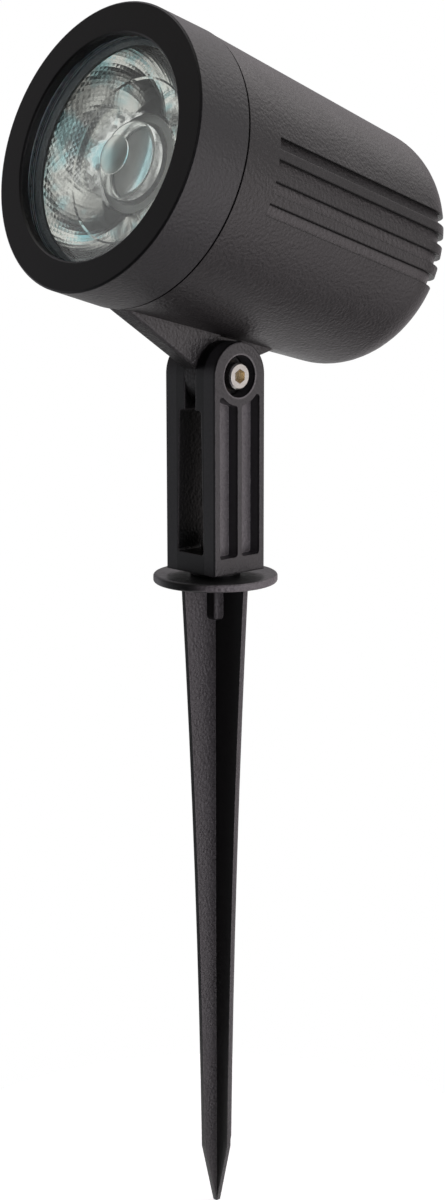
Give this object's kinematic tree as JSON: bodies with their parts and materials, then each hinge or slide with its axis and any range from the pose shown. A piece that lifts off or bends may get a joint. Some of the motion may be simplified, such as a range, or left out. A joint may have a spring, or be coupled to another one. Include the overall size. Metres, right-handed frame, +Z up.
{
  "type": "garden spike spotlight",
  "caption": "Garden spotlight: a tilting cylindrical lamp head on a slotted yoke that swivels on a cross-ribbed ground spike.",
  "frame": {"origin": "centre of the flange's underside, at ground level, on the spike's axis", "axes": "+Z up along the spike, X along the tilt axis with the screw's head on +X, the lamp shines towards -Y and 17 degrees up"},
  "size_m": [0.0876, 0.1461, 0.394],
  "materials": {
    "cast_black": "fine textured black powder coat on die-cast aluminium",
    "turned_black": "smooth satin black powder coat on a turned ring",
    "moulded_black": "spark-eroded texture on moulded black nylon",
    "nylon_black": "plain",
    "gland_plastic": "satin",
    "stainless": "turned stainless steel",
    "brass": "knurled",
    "black_rubber": "moulded",
    "grey_silicone": "translucent grey silicone",
    "clear_glass": "clear toughened",
    "optic_plastic": "clear moulded acrylic with a faceted side wall",
    "cup_plastic": "grey moulded",
    "bare_aluminium": "machined",
    "clamp_plastic": "white moulded",
    "lead_insulation": "silicone insulation",
    "driver_plastic": "white moulded",
    "led_ceramic": "white ceramic",
    "led_yellow": "yellow phosphor"
  },
  "bodies": {
    "spike": {"ground_spike": "moulded_black", "swivel_insert": "brass", "swivel_washer": "nylon_black", "spring_washer": "stainless", "swivel_bolt": "stainless"},
    "yoke": {"yoke": "moulded_black", "pivot_bolt": "stainless", "pivot_washer": "stainless", "pivot_nut": "stainless"},
    "lamp_head": {"head_housing": "cast_black", "front_bezel": "turned_black", "bezel_o_ring": "black_rubber", "front_glass": "clear_glass", "glass_gasket": "grey_silicone", "optic_ring": "cup_plastic", "optic_lens": "optic_plastic", "optic_cup": "cup_plastic", "heat_spreader": "bare_aluminium", "led_clamp": "clamp_plastic", "led_leads": "lead_insulation", "driver_case": "driver_plastic", "driver_pad": "grey_silicone", "gland_body": "gland_plastic", "gland_washer": "black_rubber", "gland_locknut": "gland_plastic", "gland_seal": "black_rubber", "gland_cap": "gland_plastic", "thermal_pad": "grey_silicone", "led_substrate": "led_ceramic", "led_phosphor": "led_yellow", "spreader_screws": "stainless", "clamp_screws": "stainless"}
  },
  "joints": [
    {"name": "yoke_swivel", "type": "hinge", "parent": "spike", "child": "yoke", "pos_m": [0, 0, 0.0042], "axis": [0, 0, 1], "continuous": true},
    {"name": "head_tilt", "type": "hinge", "parent": "yoke", "child": "lamp_head", "pos_m": [0, 0, 0.0666], "axis": [-1, 0, 0], "range_deg": [-40, 45]}
  ]
}
